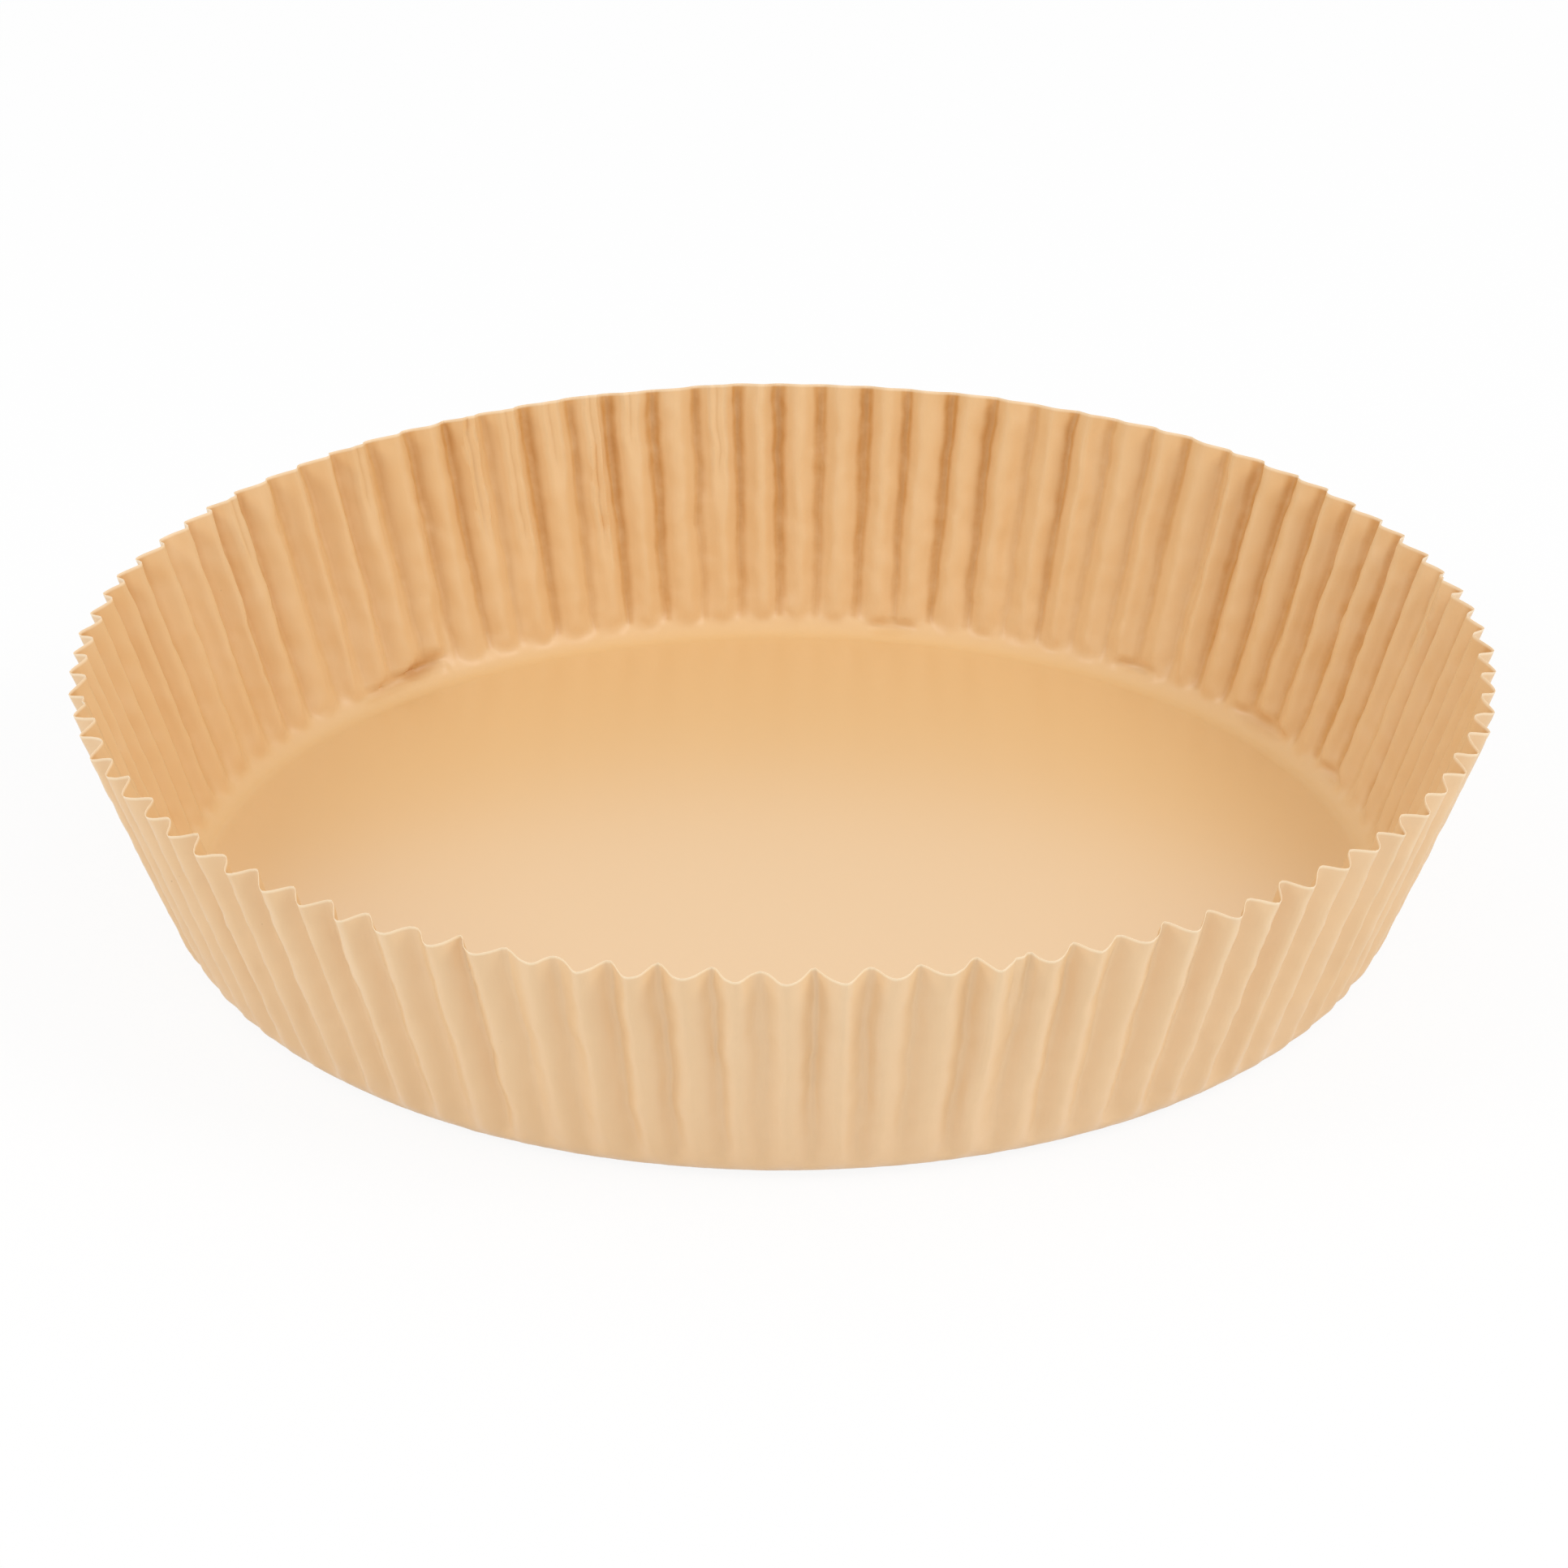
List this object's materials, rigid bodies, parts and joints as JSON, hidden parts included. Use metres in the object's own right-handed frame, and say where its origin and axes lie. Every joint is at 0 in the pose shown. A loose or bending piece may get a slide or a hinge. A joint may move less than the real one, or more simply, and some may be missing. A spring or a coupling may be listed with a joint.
{
  "type": "air fryer paper liner",
  "caption": "Round one-piece parchment liner with a flat floor and a fluted wall that flares to an open rim, to line an air fryer basket.",
  "frame": {"origin": "centre of the floor's underside, where the liner stands", "axes": "+Z is the liner's axis, out of the open top; the liner is round, so X and Y are any two directions across it, with X through the middle of an outer fold"},
  "size_m": [0.2408, 0.2408, 0.0446],
  "materials": {
    "paper": "matte"
  },
  "bodies": {
    "root": {"liner": "paper"}
  },
  "joints": []
}
